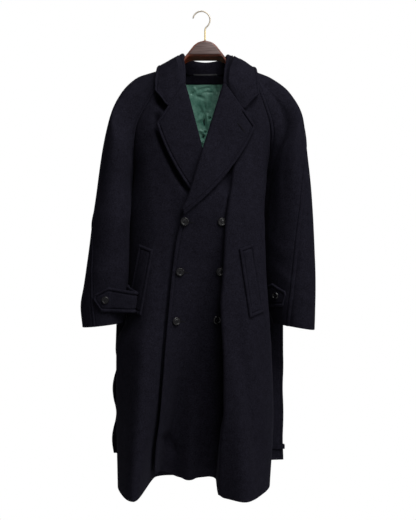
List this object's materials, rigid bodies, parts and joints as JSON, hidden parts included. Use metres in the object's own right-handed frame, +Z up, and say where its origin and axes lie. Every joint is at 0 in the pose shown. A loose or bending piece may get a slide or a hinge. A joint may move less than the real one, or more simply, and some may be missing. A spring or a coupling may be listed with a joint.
{
  "type": "belted overcoat on a hanger",
  "caption": "Long double-breasted wool overcoat with raglan sleeves, notched lapels, cuff straps, welt pockets and a loose belt, hanging from a wooden hanger with a wire hook.",
  "frame": {"origin": "inside top of the hanger's hook, where it rests on a rail", "axes": "+Z up, the coat's front faces -Y, the wearer's left is +X"},
  "size_m": [0.6387, 0.3002, 1.3013],
  "materials": {
    "wool_cloth": "matte napped melton wool, blue-black",
    "satin_lining": "satin, sea green",
    "loop_tape": "woven tape, grey-blue",
    "button_resin": "polished, near black",
    "stained_wood": "varnished, red-brown",
    "lacquered_wood": "satin lacquer, grey-brown",
    "plated_wire": "worn bright plating"
  },
  "bodies": {
    "root": {"back": "wool_cloth", "belt": "wool_cloth", "belt_keeper": "wool_cloth", "belt_loop_left": "wool_cloth", "belt_loop_right": "wool_cloth", "button_left_1": "button_resin", "button_left_2": "button_resin", "button_left_3": "button_resin", "button_right_1": "button_resin", "button_right_2": "button_resin", "button_right_3": "button_resin", "collar": "wool_cloth", "cuff_button_left": "button_resin", "cuff_button_right": "button_resin", "cuff_strap_left": "wool_cloth", "cuff_strap_right": "wool_cloth", "front_left": "wool_cloth", "front_right": "wool_cloth", "hanger": "stained_wood", "hanger_hook": "plated_wire", "hanger_plate": "lacquered_wood", "hanging_loop": "loop_tape", "lapel_left": "wool_cloth", "lapel_right": "wool_cloth", "lining_back": "satin_lining", "neck_facing": "wool_cloth", "pocket_welt_left": "wool_cloth", "pocket_welt_right": "wool_cloth", "sleeve_back_left": "wool_cloth", "sleeve_back_right": "wool_cloth", "sleeve_front_left": "wool_cloth", "sleeve_front_right": "wool_cloth"}
  },
  "joints": []
}
